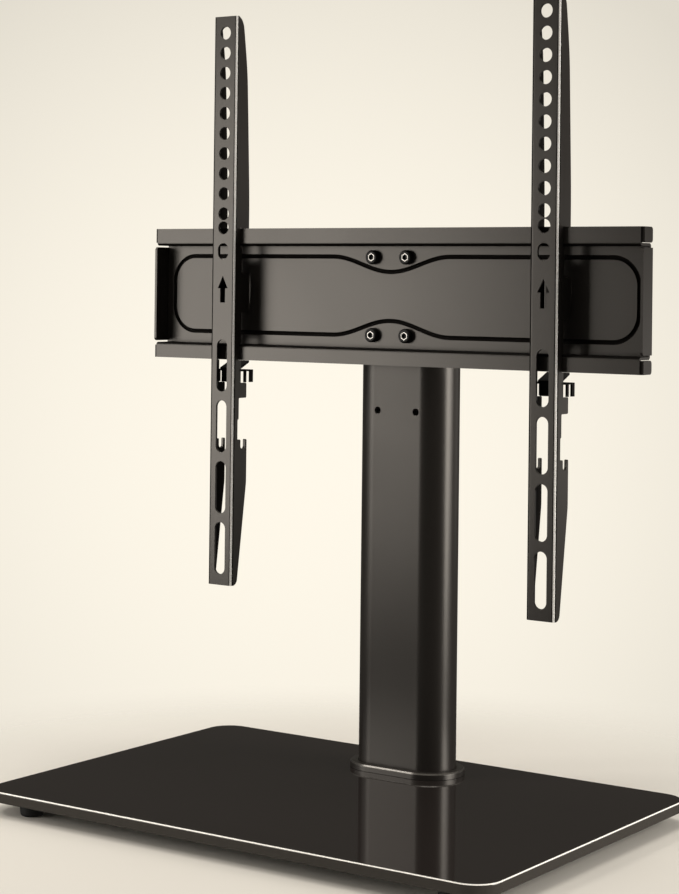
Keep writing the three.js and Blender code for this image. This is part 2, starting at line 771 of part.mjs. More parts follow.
// The outline of a flange, seen from the side, from the arm's top down to its toe
function flangeOutline() {
  const corners = [onArm(-overrun, 0), onArm(armSheet, 0)];
  for (const [dropShare, depthShare] of upperFlangeShares) {
    corners.push(onArm(flangeDepth * depthShare, hookDrop * dropShare));
  }
  corners.push(
    onArm(flangeDepth, tongueDrop, hookRounding),
    onArm(tongueFrontDepth, tongueDrop, hookRounding),
    onArm(tongueFrontDepth, hookDrop),
    onArm(railDepth, hookDrop),
    onArm(railDepth, upperShelfDrop),
    onArm(flangeRecessDepth, upperShelfDrop),
  );
  let drop = upperShelfDrop + flangeEarDrop;
  corners.push(onArm(flangeRecessDepth, drop));
  drop += flangeEarSlope;
  corners.push(onArm(flangeEarDepth, drop, armCornerRounding));
  drop += flangeEarLength;
  corners.push(
    onArm(flangeEarDepth, drop, hookRounding),
    onArm(flangeRecessDepth, drop + hookRounding),
    onArm(flangeRecessDepth, lowerShelfDrop),
    onArm(railDepth, lowerShelfDrop),
    onArm(railDepth, lowerLipDrop),
    onArm(lockWayDepth, lowerLipDrop),
    onArm(lockWayDepth, ledgeDrop),
    onArm(ledgeDepth, ledgeDrop, hookRounding),
  );
  drop = ledgeDrop + ledgeHeight;
  corners.push(onArm(ledgeDepth, drop, hookRounding), onArm(neckDepth, drop));
  drop += neckHeight;
  corners.push(onArm(neckDepth, drop), onArm(waistDepth, drop));
  drop += waistHeight;
  corners.push(
    onArm(waistDepth, drop),
    onArm(lowerEarSlotFront, drop, hookRounding),
    onArm(lowerEarSlotFront, drop + lowerEarSlotDepth),
    onArm(lowerEarSlotBack, drop + lowerEarSlotDepth),
    onArm(lowerEarSlotBack, drop),
    onArm(flangeDepth, drop, hookRounding),
    onArm(flangeDepth, drop + lowerEarHeight, armCornerRounding),
    onArm(toeDepth, armLength, toeRounding),
    onArm(-overrun, armLength),
  );
  return roundedOutline(corners);
}

// Tools for the holes in a web
function webTool(outline) {
  return facing(outline, armFrontY - overrun, armFrontY + armSheet + overrun);
}

function slotTool(top, length) {
  const middleZ = armTopZ - top - length / 2;
  return webTool(roundedRectangle(2 * armHoleRadius, length, armHoleRadius, 0, middleZ));
}

function arrowTool() {
  const tipZ = armTopZ - armArrowTop;
  const headZ = tipZ - armArrowHeadLength;
  const tailZ = tipZ - armArrowLength;
  const head = armArrowHeadWidth / 2;
  const shaft = armArrowShaftWidth / 2;
  return webTool(
    roundedOutline([
      [0, tipZ],
      [head, headZ],
      [shaft, headZ],
      [shaft, tailZ],
      [-shaft, tailZ],
      [-shaft, headZ],
      [-head, headZ],
    ]),
  );
}

function armTools() {
  const drops = [armOddHole];
  for (let i = 0; i < armHoleCount; i += 1) {
    drops.push(armFirstHole + i * armHolePitch);
  }
  const tools = drops.map((drop) => {
    return roundAlongY(0, armTopZ - drop, armHoleRadius, armFrontY - overrun, armFrontY + armSheet + overrun);
  });
  tools.push(slotTool(armShortSlotTop, armShortSlotLength), arrowTool());
  for (let i = 0; i < armSlotCount; i += 1) {
    tools.push(slotTool(armSlotTop + i * armSlotPitch, armSlotLength));
  }
  return tools;
}

// An arm: a folded channel, its flanges trimmed to their outline, its web pierced
const armSideX = armWidth / 2 - armSheet / 2;
const armMiddleY = armFrontY + armSheet / 2;
const armOpenY = armFrontY + flangeDepth + overrun;
const channelSection = foldedSheet(
  [
    [-armSideX, armOpenY],
    [-armSideX, armMiddleY],
    [armSideX, armMiddleY],
    [armSideX, armOpenY],
  ],
  armSheet,
  armBend,
);
const channel = upright(channelSection, armTopZ - armLength, armTopZ);
const trim = sideways(flangeOutline(), -armWidth / 2 - overrun, armWidth / 2 + overrun);
const armGeometry = toGeometry(cutAll(channel.intersect(trim), armTools()));

// A lock: a bridge over both flanges, a web and a sloping tongue between them, four posts outside
function lockBlock(fromX, toX, fromDepth, toDepth, topDrop, bottomDrop) {
  return block(
    Math.min(fromX, toX),
    Math.max(fromX, toX),
    armFrontY + fromDepth,
    armFrontY + toDepth,
    armTopZ - bottomDrop,
    armTopZ - topDrop,
  );
}

function lockSolid() {
  const bottom = ledgeDrop - lockGap;
  const top = bottom - lockHeight;
  const underBridge = top + lockBridgeHeight;
  const front = lockWayDepth + lockGap;
  const webBack = front + lockSheet;
  const inner = armWidth / 2 + rideGap;
  const outer = inner + lockSheet;
  const pieces = [
    lockBlock(-outer, outer, front, front + lockFingerEnd, top, underBridge),
    lockBlock(-lockWebWidth / 2, lockWebWidth / 2, front, webBack, top, bottom),
  ];
  const tipTop = top - lockTongueRise;
  const tongueOutline = roundedOutline([
    onArm(front, underBridge),
    onArm(front, top - lockBridgeHeight),
    onArm(front + lockTongueReach, tipTop),
    onArm(front + lockTongueReach, tipTop + lockTongueSheet),
    onArm(webBack, top),
    onArm(webBack, underBridge),
  ]);
  const tongueSide = armWidth / 2 - armSheet - lockTongueGap;
  pieces.push(sideways(tongueOutline, -tongueSide, tongueSide));
  for (const side of [-1, 1]) {
    for (const [start, end] of [
      [lockPostStart, lockPostEnd],
      [lockFingerStart, lockFingerEnd],
    ]) {
      pieces.push(lockBlock(side * inner, side * outer, front + start, front + end, top, bottom));
    }
  }
  return joinAll(pieces);
}

const lockGeometry = toGeometry(lockSolid());
for (const [side, x] of [
  ["left", armEndInset - plateWidth / 2],
  ["right", plateWidth / 2 - armEndInset],
]) {
  addPiece(`${side}_arm`, armGeometry, blackPaint, new THREE.Vector3(x, 0, 0));
  addPiece(`${side}_lock`, lockGeometry, blackPlastic, new THREE.Vector3(x, 0, 0));
}

export default stand;
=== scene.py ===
import math

import bmesh
import bpy
from mathutils import Matrix, Vector


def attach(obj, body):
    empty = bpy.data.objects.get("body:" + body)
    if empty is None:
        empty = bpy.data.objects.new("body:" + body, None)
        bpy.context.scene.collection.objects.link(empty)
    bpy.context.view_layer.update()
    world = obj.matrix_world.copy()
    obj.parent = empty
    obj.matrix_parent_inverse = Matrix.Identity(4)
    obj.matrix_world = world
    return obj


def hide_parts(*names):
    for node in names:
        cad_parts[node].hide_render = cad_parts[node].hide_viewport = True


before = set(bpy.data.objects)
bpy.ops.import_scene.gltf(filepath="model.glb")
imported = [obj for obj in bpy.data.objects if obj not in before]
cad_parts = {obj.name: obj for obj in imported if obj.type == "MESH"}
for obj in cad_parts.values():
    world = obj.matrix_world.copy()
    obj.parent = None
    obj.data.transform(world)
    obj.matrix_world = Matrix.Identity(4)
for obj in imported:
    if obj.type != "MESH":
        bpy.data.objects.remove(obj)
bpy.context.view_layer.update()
print("frame loaded with", len(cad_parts), "solids")

# Lengths are in millimetres unless they say metres, and settle() scales each piece once
mm = 0.001
quarterTurn = math.pi / 2
weldGap = 0.002
cornerGap = 0.01  # what a full round leaves of a straight side, so that its corners don't meet
leastFold = 0.5  # radians; folds are sharper than this, and flat joints in a sheet aren't
sharpAngle = math.radians(32)
facets = {
    "corner": 8, "fold": 8, "tab": 6, "softEdge": 2,
    "glassCorner": 16, "hole": 32, "turned": 48, "hexagon": 6,
}
camera = {
    "turn": 34.6598,  # degrees round the stand, from straight in front
    "pitch": 0.4148,
    "roll": 0.6649,
    "place": (881.63, -1277.56, 385.80),
    "focalPixels": 2149.82,
    "middleColumn": 339.5,
    "middleRow": 266.26,
    "frame": (679, 894),
    "sensor": 36,
}


def makeCamera(settings):
    turn, pitch, roll = (math.radians(settings[name]) for name in ("turn", "pitch", "roll"))
    flat = math.cos(pitch)
    forward = Vector((-math.sin(turn) * flat, math.cos(turn) * flat, math.sin(pitch)))
    level = Vector((math.cos(turn), math.sin(turn), 0))
    up = level.cross(forward)
    across = level * math.cos(roll) + up * math.sin(roll)
    upright = up * math.cos(roll) - level * math.sin(roll)
    wide, high = settings["frame"]
    lens = bpy.data.cameras.new("photographCamera")
    lens.sensor_width = settings["sensor"]
    lens.lens = settings["focalPixels"] * settings["sensor"] / high
    lens.shift_x = (wide / 2 - settings["middleColumn"]) / high
    lens.shift_y = (settings["middleRow"] - high / 2) / high
    made = bpy.data.objects.new("photographCamera", lens)
    bpy.context.scene.collection.objects.link(made)
    axes = Matrix((across, upright, -forward)).transposed()
    made.matrix_world = Matrix.Translation(Vector(settings["place"]) * mm) @ axes.to_4x4()
    bpy.context.scene.camera = made


makeCamera(camera)


# A socket that can stand in sums; node() makes any other node beside it
class Wire:
    def __init__(self, tree, socket=None):
        self.tree = tree
        self.socket = socket

    def node(self, kind, settings=None, sockets=None, output=0):
        made = self.tree.nodes.new(kind)
        for name, value in (settings or {}).items():
            setattr(made, name, value)
        for name, value in (sockets or {}).items():
            if isinstance(value, Wire):
                self.tree.links.new(value.socket, made.inputs[name])
            else:
                made.inputs[name].default_value = value
        return Wire(self.tree, made.outputs[output])

    def maths(self, operation, first, second):
        return self.node("ShaderNodeMath", {"operation": operation}, {0: first, 1: second})

    def __add__(self, other):
        return self.maths("ADD", self, other)

    def __mul__(self, other):
        return self.maths("MULTIPLY", self, other)

    # 0 below low, 1 above high, smooth between
    def rising(self, low, high):
        settings = {"interpolation_type": "SMOOTHSTEP"}
        return self.node("ShaderNodeMapRange", settings, {0: self, 1: low, 2: high})

    def noise(self, scale, detail=3.0, rough=0.5):
        places = self.node("ShaderNodeTexCoord", output="Object")
        sockets = {"Vector": places, "Scale": scale, "Detail": detail, "Roughness": rough}
        return self.node("ShaderNodeTexNoise", sockets=sockets)

    def blend(self, share, first, second):
        settings = {"data_type": "RGBA"}
        sockets = {0: share, 6: first, 7: second}
        return self.node("ShaderNodeMix", settings, sockets, output=2)

    def facingUp(self):
        normal = self.node("ShaderNodeNewGeometry", output="Normal")
        return self.node("ShaderNodeSeparateXYZ", sockets={0: normal}, output=2)


def opaque(colour):
    return (*colour, 1)


# A finish starts as a Principled shader with its fixed values; feeds are what changes over the surface
def newFinish(name, fixed):
    made = bpy.data.materials.new(name)
    made.use_nodes = True
    shader = made.node_tree.nodes["Principled BSDF"]
    for socket, value in fixed.items():
        shader.inputs[socket].default_value = value
    return made, Wire(made.node_tree), shader


def feed(wire, shader, feeds):
    for socket, value in feeds.items():
        wire.tree.links.new(value.socket, shader.inputs[socket])


# Layers of bumps, each (noise scale, depth in millimetres, strength)
def bumps(wire, layers):
    normal = None
    for scale, depth, strength in layers:
        sockets = {"Height": wire.noise(scale, 2), "Distance": depth * mm, "Strength": strength}
        if normal:
            sockets["Normal"] = normal
        normal = wire.node("ShaderNodeBump", sockets=sockets)
    return normal


powder = {
    "colour": (0.0125, 0.0106, 0.0094),
    "paleColour": (0.0175, 0.0152, 0.0136),
    "dustColour": (0.060, 0.056, 0.050),
    "dustShare": 0.08,
    "roughness": 0.31,
    "roughnessSpread": 0.08,
    "specular": 0.62,
    "specularTint": (1, 0.95, 0.89),
    "cloudScale": 14,
    "grainScale": 2600,
    "grainSpan": (0.35, 0.75),
    "dustSpan": (0.6, 1.0),  # how far up a face looks where dust begins, and where it is at its most
    "dustPatches": (0.3, 0.7),
    "bumps": [(260, 0.05, 0.22), (1500, 0.03, 0.30)],
}


def powderCoat(name, settings):
    made, wire, shader = newFinish(name, {
        "Specular IOR Level": settings["specular"], "Specular Tint": opaque(settings["specularTint"]),
    })
    clouds = wire.noise(settings["cloudScale"], 4)
    grain = wire.noise(settings["grainScale"], 2)
    colours = opaque(settings["colour"]), opaque(settings["paleColour"])
    shades = wire.blend(grain.rising(*settings["grainSpan"]), *colours)
    dusty = wire.facingUp().rising(*settings["dustSpan"]) * clouds.rising(*settings["dustPatches"])
    dust = dusty * settings["dustShare"]
    spread = settings["roughnessSpread"]
    feed(wire, shader, {
        "Base Color": wire.blend(dust, shades, opaque(settings["dustColour"])),
        "Roughness": clouds * spread + grain * spread + (settings["roughness"] - spread) + dust,
        "Normal": bumps(wire, settings["bumps"]),
    })
    return made


# Paler, glossier paint on softened edges: partly real wear, partly a painted highlight along the edges
wornEdgeAndHighlight = {
    **powder,
    "colour": (0.030, 0.028, 0.026),
    "paleColour": (0.050, 0.047, 0.043),
    "roughness": 0.24,
    "roughnessSpread": 0.05,
    "specular": 0.75,
    "dustShare": 0.04,
}
tubePaint = {**powder, "specular": 0.50}
# A darker, duller paint that stands in for shade: painted shade in grooves, folds and the channels'
# insides
paintedShadePaint = {
    **powder,
    "colour": (0.0045, 0.0038, 0.0033),
    "paleColour": (0.0070, 0.0060, 0.0052),
    "roughness": 0.62,
    "roughnessSpread": 0.06,
    "specular": 0.05,
    "dustShare": 0.02,
}
glassLook = {
    "colour": (0.0205, 0.0165, 0.0150),
    "dustColour": (0.042, 0.038, 0.035),
    "dustShare": 0.25,
    "roughness": 0.03,
    "smudge": 0.05,
    "smearScale": 9,
    "smearSpan": (0.45, 0.8),
    "speckScale": 1900,
    "speckSpan": (0.66, 0.8),
    "dustSpan": (0.5, 1.0),
    "dustRoughness": 0.3,
    "bumps": [(5, 0.12, 0.02)],
    "ior": 1.5,
    "specular": 0.5,
    "secondFace": 0.38,  # a faint second reflection, from the glass's back
}
groundEdge = {**glassLook, "colour": (0.052, 0.047, 0.042), "roughness": 0.08}


def blackGlass(name, settings):
    made, wire, shader = newFinish(name, {
        "IOR": settings["ior"], "Specular IOR Level": settings["specular"],
        "Coat Weight": settings["secondFace"], "Coat Roughness": settings["roughness"],
    })
    smears = wire.noise(settings["smearScale"], 5, 0.6).rising(*settings["smearSpan"])
    specks = wire.noise(settings["speckScale"], 1).rising(*settings["speckSpan"])
    dust = wire.facingUp().rising(*settings["dustSpan"]) * specks * settings["dustShare"]
    smudged = smears * settings["smudge"] + settings["roughness"]
    feed(wire, shader, {
        "Base Color": wire.blend(dust, opaque(settings["colour"]), opaque(settings["dustColour"])),
        "Roughness": smudged + dust * settings["dustRoughness"],
        "Normal": bumps(wire, settings["bumps"]),
    })
    return made


plain = {
    "cloudScale": 40, "cloudSpread": 0.12, "grainSpread": 0.06, "grainSpan": (0.35, 0.7),
    "paleShare": 1.5, "bumpStrength": 0.35,
}


# Moulded or machined surfaces: a base shade with grain, clouds in the gloss and a fine bump
def plainFinish(name, settings):
    made, wire, shader = newFinish(name, {
        "Specular IOR Level": settings["specular"], "Metallic": settings["metallic"],
    })
    grain = wire.noise(settings["grainScale"], 3)
    clouds = wire.noise(plain["cloudScale"], 4)
    cloudSpread, grainSpread = plain["cloudSpread"], plain["grainSpread"]
    smoothest = settings["roughness"] - (cloudSpread + grainSpread) / 2
    pale = opaque([channel * plain["paleShare"] for channel in settings["colour"]])
    feed(wire, shader, {
        "Base Color": wire.blend(grain.rising(*plain["grainSpan"]), opaque(settings["colour"]), pale),
        "Roughness": clouds * cloudSpread + grain * grainSpread + smoothest,
        "Normal": bumps(wire, [(settings["grainScale"], settings["grainDepth"], plain["bumpStrength"])]),
    })
    return made


rubberLook = {
    "colour": (0.011, 0.011, 0.0108), "roughness": 0.68, "specular": 0.35, "metallic": 0,
    "grainScale": 1800, "grainDepth": 0.05,
}
plasticLook = {
    "colour": (0.0045, 0.0040, 0.0036), "roughness": 0.5, "specular": 0.1, "metallic": 0,
    "grainScale": 1200, "grainDepth": 0.03,
}
boltLook = {
    "colour": (0.007, 0.0064, 0.0058), "roughness": 0.36, "specular": 0.16, "metallic": 0,
    "grainScale": 2400, "grainDepth": 0.015,
}
wornLook = {**boltLook, "colour": (0.60, 0.58, 0.55), "roughness": 0.45, "metallic": 1}
zincLook = {
    "colour": (0.42, 0.42, 0.41), "roughness": 0.38, "specular": 0.5, "metallic": 1,
    "grainScale": 900, "grainDepth": 0.02,
}
# A pale colour on the glass's arris: a painted highlight
arrisPaintedHighlight = {
    "colour": (0.84, 0.82, 0.77), "roughness": 0.45, "specular": 0.6, "metallic": 0,
    "grainScale": 1500, "grainDepth": 0.02,
}
# A pale, part-metal colour that paints a highlight along the arms' right-hand folds
paintedFoldHighlight = {
    "colour": (0.86, 0.84, 0.80), "roughness": 0.42, "specular": 0.9, "metallic": 0.35,
    "grainScale": 1500, "grainDepth": 0.02,
}
finishes = {
    "paint": powderCoat("satinPowderCoat", powder),
    "paintEdge": powderCoat("powderCoatWornAndHighlitOnEdges", wornEdgeAndHighlight),
    "paintedShadePaint": powderCoat("powderCoatDarkAsPaintedShade", paintedShadePaint),
    "tubePaint": powderCoat("powderCoatOnTube", tubePaint),
    "foldGlint": plainFinish("powderCoatPaintedHighlightOnFolds", paintedFoldHighlight),
    "glass": blackGlass("blackBackedGlass", glassLook),
    "glassEdge": blackGlass("groundGlassEdge", groundEdge),
    "glassArris": plainFinish("glassArrisPaintedHighlight", arrisPaintedHighlight),
    "rubber": plainFinish("blackRubber", rubberLook),
    "plastic": plainFinish("blackMouldedPlastic", plasticLook),
    "bolt": plainFinish("blackenedSteel", boltLook),
    "boltRim": plainFinish("brightSteelRim", wornLook),
    "zinc": plainFinish("zincPlatedSteel", zincLook),
}
print("finishes made")


# An outline of (u, v, rounding) corners in one face, and what it is drawn out into along an axis
def outlineFace(bm, corners, axis, place):
    spots = {
        "x": lambda u, v: (place, u, v), "y": lambda u, v: (u, place, v), "z": lambda u, v: (u, v, place),
    }
    verts = [bm.verts.new(spots[axis](u, v)) for u, v, *_ in corners]
    bm.faces.new(verts)
    roundings = [rounding[0] if rounding else 0 for _, _, *rounding in corners]
    for rounding in sorted(set(roundings) - {0}):
        chosen = [vert for vert, own in zip(verts, roundings) if own == rounding]
        bmesh.ops.bevel(bm, geom=chosen, offset=rounding, affect="VERTICES", segments=facets["corner"],
                        profile=0.5, material=-1)


def prism(bm, corners, axis, start, end):
    own = bmesh.new()
    outlineFace(own, corners, axis, start)
    drawn = bmesh.ops.extrude_face_region(own, geom=own.faces[:])["geom"]
    travel = Vector([end - start if name == axis else 0 for name in "xyz"])
    bmesh.ops.translate(own, vec=travel, verts=onlyVerts(drawn))
    closeUp(own)
    addTo(bm, own)


def onlyVerts(items):
    return [item for item in items if isinstance(item, bmesh.types.BMVert)]


def closeUp(bm):
    bmesh.ops.remove_doubles(bm, verts=bm.verts[:], dist=weldGap)
    bmesh.ops.recalc_face_normals(bm, faces=bm.faces[:])


def addTo(bm, own):
    carried = bpy.data.meshes.new("carried")
    own.to_mesh(carried)
    own.free()
    bm.from_mesh(carried)
    bpy.data.meshes.remove(carried)


def box(bm, low, high):
    corners = [(low[0], low[1]), (high[0], low[1]), (high[0], high[1]), (low[0], high[1])]
    prism(bm, corners, "z", low[2], high[2])


turns = {
    "x": Matrix.Rotation(quarterTurn, 4, "Y"),
    "y": Matrix.Rotation(-quarterTurn, 4, "X"),
    "z": Matrix.Identity(4),
}


def bar(bm, middle, radius, axis, length, segments=facets["turned"]):
    place = Matrix.Translation(Vector(middle)) @ turns[axis]
    bmesh.ops.create_cone(bm, cap_ends=True, cap_tris=False, segments=segments, radius1=radius,
                          radius2=radius, depth=length, matrix=place)


# The four corners of an outline, at so much either way from its middle, rounded alike
def fourCorners(middle, reach, rounding):
    return [(middle[0] + wayU * reach[0], middle[1] + wayV * reach[1], rounding)
            for wayU, wayV in ((-1, -1), (1, -1), (1, 1), (-1, 1))]


# A slot's tool: a bar's two halves drawn apart
def slotBar(bm, middle, radius, length, depth):
    x, y, z = middle
    corners = fourCorners((x, z), (radius, length / 2), radius - cornerGap)
    prism(bm, corners, "y", y - depth / 2, y + depth / 2)


# A line of points folded out of sheet: drawn out, its folds rounded, then given its thickness
def foldedSheet(points, travel, sheet, bend, tabRounding=0):
    bm = bmesh.new()
    line = [bm.verts.new(point) for point in points]
    edges = [bm.edges.new(pair) for pair in zip(line, line[1:])]
    drawn = bmesh.ops.extrude_edge_only(bm, edges=edges)["geom"]
    bmesh.ops.translate(bm, vec=travel, verts=onlyVerts(drawn))
    if tabRounding:
        tips = [vert for vert in bm.verts if len(vert.link_faces) == 1]
        bmesh.ops.bevel(bm, geom=tips, offset=tabRounding, affect="VERTICES", segments=facets["tab"],
                        profile=0.5, material=-1)
    folds = [edge for edge in bm.edges if edge.calc_face_angle(0) > leastFold]
    bmesh.ops.bevel(bm, geom=folds, offset=bend + sheet / 2, affect="EDGES", segments=facets["fold"],
                    profile=0.5, material=-1)
    made = newObject("foldedSheet", bm)
    thick = made.modifiers.new("sheet", "SOLIDIFY")
    thick.thickness, thick.offset, thick.use_even_offset = sheet, 0, True
    applyModifiers(made)
    return made


def newObject(name, bm):
    mesh = bpy.data.meshes.new(name)
    bm.to_mesh(mesh)
    bm.free()
    made = bpy.data.objects.new(name, mesh)
    bpy.context.scene.collection.objects.link(made)
    return made


def applyModifiers(made):
    bpy.context.view_layer.update()
    graph = bpy.context.evaluated_depsgraph_get()
    old, mesh = made.data, bpy.data.meshes.new_from_object(made.evaluated_get(graph))
    made.modifiers.clear()
    made.data = mesh
    bpy.data.meshes.remove(old)


# Cuts tools from a blank, joins them on, or keeps what both share; tools go afterwards
def combine(made, tools, operation):
    for tool in tools:
        step = made.modifiers.new("step", "BOOLEAN")
        step.operation, step.solver, step.object = operation, "EXACT", tool
    applyModifiers(made)
    for tool in tools:
        mesh = tool.data
        bpy.data.objects.remove(tool)
        bpy.data.meshes.remove(mesh)


def cutAway(made, bm):
    combine(made, [newObject("tool", bm)], "DIFFERENCE")


# Sweeps a profile of (offset from the oval's centre line, height) round the column's flat oval
def ovalSweep(bm, profile, oval):
    own = bmesh.new()
    side, middle = oval["straight"] / 2, oval["middleY"]
    ring = [own.verts.new((side, middle - distance, height)) for distance, height in profile]
    rim = [own.edges.new(pair) for pair in zip(ring, ring[1:] + ring[:1])]
    for way in (1, -1):
        turned = bmesh.ops.spin(own, geom=ring + rim, cent=(way * side, middle, 0), axis=(0, 0, 1),
                                dvec=(0, 0, 0), angle=math.pi, steps=oval["steps"], use_merge=False,
                                use_duplicate=False)["geom_last"]
        rim = [item for item in turned if isinstance(item, bmesh.types.BMEdge)]
        drawn = bmesh.ops.extrude_edge_only(own, edges=rim)["geom"]
        ring = onlyVerts(drawn)
        rim = [item for item in drawn if isinstance(item, bmesh.types.BMEdge) and item.verts[0] in ring
               and item.verts[1] in ring]
        bmesh.ops.translate(own, vec=(-way * 2 * side, 0, 0), verts=ring)
    closeUp(own)
    addTo(bm, own)


# Turns a profile of (radius, height) once round an upright axis at a place
def turned(bm, profile, place):
    own = bmesh.new()
    line = [own.verts.new((radius, 0, height)) for radius, height in profile]
    edges = [own.edges.new(pair) for pair in zip(line, line[1:])]
    bmesh.ops.spin(own, geom=line + edges, cent=(0, 0, 0), axis=(0, 0, 1), dvec=(0, 0, 0),
                   angle=2 * math.pi, steps=facets["turned"], use_merge=True, use_duplicate=False)
    closeUp(own)
    bmesh.ops.transform(own, matrix=place, verts=own.verts[:])
    addTo(bm, own)


# Shares of a face's normal along an axis, for choosing the faces that take another finish
lean = {"straight": 0.99, "mostly": 0.9, "partly": 0.3, "little": 0.2, "hardly": 0.1, "barely": 0.05}


def isSlope(face):
    return lean["partly"] < face.normal.z < lean["mostly"]


# The last steps of every piece: size, finishes, softened edges, shading and body, and the solid it
# replaces is hidden
def settle(made, name, body, finish, node, softness=0.3, edgeFinish=None, marked=None):
    mesh = made.data
    mesh.transform(Matrix.Diagonal((mm, mm, mm, 1)))
    made.name, mesh.name = name, name
    mesh.materials.clear()
    mesh.materials.append(finishes[finish])
    mesh.materials.append(finishes[edgeFinish or finish])
    for face in mesh.polygons:
        face.material_index = 0
    for index, (other, isMarked) in enumerate((marked or {}).items(), 2):
        mesh.materials.append(finishes[other])
        for face in mesh.polygons:
            if isMarked(face):
                face.material_index = index
    mesh.shade_smooth()
    mesh.set_sharp_from_angle(angle=sharpAngle)
    if softness:
        edge = made.modifiers.new("softEdges", "BEVEL")
        edge.width, edge.segments, edge.limit_method = softness * mm, facets["softEdge"], "ANGLE"
        edge.angle_limit = sharpAngle
        edge.material = 1 if edgeFinish else 0
        edge.miter_outer = "MITER_ARC"
        shade = made.modifiers.new("evenShading", "WEIGHTED_NORMAL")
        shade.keep_sharp, shade.weight = True, 100
    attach(made, body)
    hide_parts(node)
    return made


# Glass foot: a slab with wide round corners and a ground, polished arris
glassPlate = {
    "low": (-212, -145, 9.5), "high": (212, 145, 17.5),
    "cornerRadius": 20, "arris": 0.9, "boltXs": (-20, 20), "boltHole": 3.4, "toolLength": 20,
}
oval = {"straight": 40, "middleY": 95, "radius": 20, "steps": 32}


def makeGlass(settings):
    bm = bmesh.new()
    bmesh.ops.create_cube(bm, size=1)
    low, high = Vector(settings["low"]), Vector(settings["high"])
    middle = (low + high) / 2
    bmesh.ops.scale(bm, vec=high - low, verts=bm.verts[:])
    bmesh.ops.translate(bm, vec=middle, verts=bm.verts[:])
    uprights = [edge for edge in bm.edges if edge.verts[0].co.z != edge.verts[1].co.z]
    bmesh.ops.bevel(bm, geom=uprights, offset=settings["cornerRadius"], affect="EDGES",
                    segments=facets["glassCorner"], profile=0.5, material=-1)
    rims = [edge for edge in bm.edges if edge.calc_face_angle(0) > leastFold]
    bmesh.ops.bevel(bm, geom=rims, offset=settings["arris"], affect="EDGES", segments=1, profile=0.5,
                    material=-1)
    made = newObject("glass", bm)
    tools = bmesh.new()
    for x in settings["boltXs"]:
        place = (x, oval["middleY"], middle.z)
        bar(tools, place, settings["boltHole"], "z", settings["toolLength"], facets["hole"])
    cutAway(made, tools)
    # The sides take the ground edge finish; the arris takes a pale colour as a painted highlight
    marked = {"glassEdge": lambda face: face.normal.z < lean["mostly"], "glassArris": isSlope}
    settle(made, "black_glass_foot", "stand", "glass", "base_glass", softness=0.18,
           edgeFinish="glassEdge", marked=marked)


makeGlass(glassPlate)

rubberFoot = {
    "places": {
        "front_left_foot": (-177, -127), "front_right_foot": (177, -127),
        "back_left_foot": (-177, 127), "back_right_foot": (177, 127),
    },
    "profile": [(0, 0.5), (4.2, 0.5), (4.7, 0), (6.9, 0), (7.7, 0.35), (8.2, 1.1), (8.32, 2.0),
                (8.9, 7.0), (8.75, 7.3), (8.75, 7.7), (9.0, 8.0), (9.15, 9.0), (8.9, 9.3), (0, 9.3)],
    "sharpAngle": math.radians(50),
}


def makeFeet(settings):
    for node, (x, y) in settings["places"].items():
        bm = bmesh.new()
        turned(bm, settings["profile"], Matrix.Translation((x, y, 0)))
        made = newObject(node, bm)
        settle(made, "rubber_" + node, "stand", "rubber", node, softness=0)
        made.data.set_sharp_from_angle(angle=settings["sharpAngle"])


makeFeet(rubberFoot)
print("glass foot and feet made")

# Column: an oval tube, its moulded collar and what clamps it from below; its cap stays as the CAD solid
columnTube = {
    "low": 18.9, "high": 417.9, "wall": 2,
    "holeXs": (-17, 17), "holeHeights": (375.3, 332.25, 289.2), "holeRadius": 2.5, "toolLength": 10,
}
collar = {
    "outline": [(20.25, 17.55), (26.5, 17.55), (26.5, 21.3), (25.6, 22.5), (20.6, 22.5), (20.25, 22.2)],
}
clampPlate = {"low": 6.1, "high": 8.1, "radius": 28}
lowerGasket = {"low": 8.3, "high": 9.3, "radius": 28}


def makeColumn(settings):
    outer, inner = oval["radius"], oval["radius"] - settings["wall"]
    low, high = settings["low"], settings["high"]
    bm = bmesh.new()
    ovalSweep(bm, [(outer, low), (outer, high), (inner, high), (inner, low)], oval)
    made = newObject("tube", bm)
    tools = bmesh.new()
    for z in settings["holeHeights"]:
        for x in settings["holeXs"]:
            place = (x, oval["middleY"] - outer, z)
            bar(tools, place, settings["holeRadius"], "y", settings["toolLength"], facets["hole"])
    cutAway(made, tools)
    settle(made, "oval_column", "stand", "tubePaint", "column_tube", softness=0.35,
           edgeFinish="paintEdge")


def makeSwept(name, outline, finish, node, softness):
    bm = bmesh.new()
    ovalSweep(bm, outline, oval)
    # The sloping facet takes the paler edge paint, partly as a painted highlight
    settle(newObject(name, bm), name, "stand", finish, node, softness=softness,
           marked={"paintEdge": isSlope})


# A flat oval slab, pierced for the two bolts
def makeOvalSlab(name, settings, finish, node):
    side, middle, radius = oval["straight"] / 2, oval["middleY"], settings["radius"]
    bm = bmesh.new()
    corners = fourCorners((0, middle), (side + radius, radius), radius - cornerGap)
    prism(bm, corners, "z", settings["low"], settings["high"])
    made = newObject(name, bm)
    tools = bmesh.new()
    for x in glassPlate["boltXs"]:
        place = (x, middle, settings["low"])
        bar(tools, place, glassPlate["boltHole"], "z", glassPlate["toolLength"], facets["hole"])
    cutAway(made, tools)
    settle(made, name, "stand", finish, node, softness=0.25)


makeColumn(columnTube)
makeSwept("moulded_collar", collar["outline"], "paint", "base_collar", 0.15)
makeOvalSlab("steel_clamp_plate", clampPlate, "paint", "clamp_plate")
makeOvalSlab("rubber_gasket", lowerGasket, "rubber", "lower_gasket")
print("column made")

